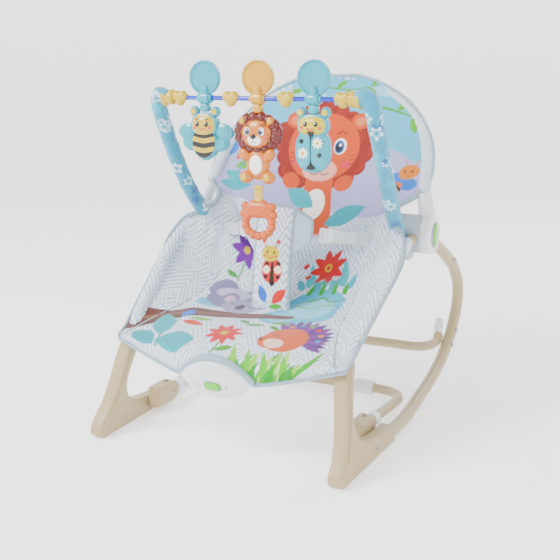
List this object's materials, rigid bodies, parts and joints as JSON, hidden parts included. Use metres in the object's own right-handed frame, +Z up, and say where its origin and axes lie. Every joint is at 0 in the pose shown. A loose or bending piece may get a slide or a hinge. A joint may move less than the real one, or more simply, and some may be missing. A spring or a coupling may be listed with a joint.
{
  "type": "bouncer seat",
  "caption": "Infant rocker seat on curved rails with a folding kickstand, reclining back, crotch pad, vibration module and a pull-off toy bar.",
  "frame": {"origin": "on the floor under the middle of the whole seat", "axes": "+Z up, +Y to the back of the seat, +X to the left-hand side of a child sitting in it, and X = 0 halfway between the rails"},
  "size_m": [0.4502, 0.5475, 0.5645],
  "materials": {
    "tan_paint": "satin",
    "white_plastic": "satin",
    "grey_plastic": "fine texture",
    "lime_plastic": "gloss",
    "steel": "zinc plated",
    "rubber": "matte",
    "tan_plastic": "satin",
    "pale_fabric": "woven with a pale chevron",
    "printed_fabric": "printed jungle scene",
    "teal_cover": "printed plush",
    "yellow_plastic": "gloss",
    "orange_silicone": "satin",
    "teal_plastic": "gloss",
    "orange_plastic": "gloss",
    "blue_plastic": "gloss",
    "circuit_green": "solder mask",
    "white_webbing": "flat webbing"
  },
  "bodies": {
    "base": {"rail_right": "tan_paint", "rail_left": "tan_paint", "front_foot_right": "tan_plastic", "front_foot_left": "tan_plastic", "seat_side_tube_right": "tan_paint", "seat_side_tube_left": "tan_paint", "pivot_block_right": "tan_plastic", "pivot_block_left": "tan_plastic", "kickstand_pin_right": "steel", "kickstand_pin_left": "steel", "hub_housing_right": "white_plastic", "hub_housing_left": "white_plastic", "recline_bolt_right": "steel", "recline_bolt_left": "steel", "wing_pad_right": "pale_fabric", "wing_pad_left": "pale_fabric", "buckle_right": "white_plastic", "buckle_left": "white_plastic", "waist_belt_right": "white_webbing", "waist_belt_left": "white_webbing", "seat_front_tube": "tan_paint", "rear_cross_tube": "tan_paint", "module_front_shell": "white_plastic", "module_back_shell": "grey_plastic", "battery_door": "grey_plastic", "battery": "steel", "vibration_motor": "steel", "circuit_board": "circuit_green", "seat_pad": "printed_fabric", "crotch_pad": "pale_fabric"},
    "backrest": {"back_tube": "tan_paint", "back_pad": "printed_fabric", "back_socket_right": "white_plastic", "back_socket_left": "white_plastic", "hub_spring_right": "steel", "hub_spring_left": "steel"},
    "hub_button_right": {"hub_button_right": "lime_plastic"},
    "hub_button_left": {"hub_button_left": "lime_plastic"},
    "kickstand": {"kickstand_tube": "tan_paint", "kickstand_collar_right": "white_plastic", "kickstand_collar_left": "white_plastic", "kickstand_pad_right": "rubber", "kickstand_pad_left": "rubber"},
    "switch": {"switch_button": "lime_plastic"},
    "motor_rotor": {"motor_weight": "steel"},
    "toy_bar": {"toy_bar_rod": "blue_plastic", "toy_bar_leg_right": "teal_cover", "toy_bar_leg_left": "teal_cover", "toy_bar_joint_right": "yellow_plastic", "toy_bar_joint_left": "yellow_plastic"},
    "bead_right": {"toy_bead_right": "yellow_plastic"},
    "bead_left": {"toy_bead_left": "yellow_plastic"},
    "bee_unit": {"disc_clip_left": "teal_plastic", "toy_bee": "yellow_plastic"},
    "lion_unit": {"disc_clip_middle": "yellow_plastic", "toy_lion": "orange_plastic"},
    "ladybird_unit": {"disc_clip_right": "teal_plastic", "toy_ladybird": "teal_plastic"},
    "teether": {"teether_strap": "yellow_plastic", "teether_ring": "orange_silicone"}
  },
  "joints": [
    {"name": "recline", "type": "hinge", "parent": "base", "child": "backrest", "pos_m": [0, 0.06625, 0.296], "axis": [1, 0, 0], "range_deg": [-20, 0]},
    {"name": "hub_button_right_press", "type": "slide", "parent": "backrest", "child": "hub_button_right", "axis": [-1, 0, 0], "range_m": [0, 0.0035], "stiffness_N_per_m": 800, "springref_m": -0.001, "deforming": ["hub_spring_right"]},
    {"name": "hub_button_left_press", "type": "slide", "parent": "backrest", "child": "hub_button_left", "axis": [1, 0, 0], "range_m": [0, 0.0035], "stiffness_N_per_m": 800, "springref_m": -0.001, "deforming": ["hub_spring_left"]},
    {"name": "kickstand_fold", "type": "hinge", "parent": "base", "child": "kickstand", "pos_m": [0, -0.10275, 0.029], "axis": [1, 0, 0], "range_deg": [0, 28]},
    {"name": "switch_rock", "type": "hinge", "parent": "base", "child": "switch", "pos_m": [0, -0.25518, 0.11055], "axis": [0, -0.2588, 0.9659], "range_deg": [-4, 4]},
    {"name": "motor_spin", "type": "hinge", "parent": "base", "child": "motor_rotor", "pos_m": [-0.0268, -0.23751, 0.11994], "axis": [1, 0, 0], "continuous": true},
    {"name": "toy_bar_pull", "type": "slide", "parent": "base", "child": "toy_bar", "axis": [0, -0.666, 0.746], "range_m": [0, 0.05]},
    {"name": "bead_right_spin", "type": "hinge", "parent": "toy_bar", "child": "bead_right", "pos_m": [0, -0.11075, 0.509], "axis": [1, 0, 0], "continuous": true},
    {"name": "bead_left_spin", "type": "hinge", "parent": "toy_bar", "child": "bead_left", "pos_m": [0, -0.11075, 0.509], "axis": [1, 0, 0], "continuous": true},
    {"name": "bee_swing", "type": "hinge", "parent": "toy_bar", "child": "bee_unit", "pos_m": [0, -0.11075, 0.509], "axis": [1, 0, 0], "range_deg": [-35, 35]},
    {"name": "lion_swing", "type": "hinge", "parent": "toy_bar", "child": "lion_unit", "pos_m": [0, -0.11075, 0.509], "axis": [1, 0, 0], "range_deg": [-30, 8]},
    {"name": "ladybird_swing", "type": "hinge", "parent": "toy_bar", "child": "ladybird_unit", "pos_m": [0, -0.11075, 0.509], "axis": [1, 0, 0], "range_deg": [-35, 35]},
    {"name": "teether_swing", "type": "hinge", "parent": "lion_unit", "child": "teether", "pos_m": [0, -0.11075, 0.382], "axis": [1, 0, 0], "range_deg": [-25, 8]}
  ]
}
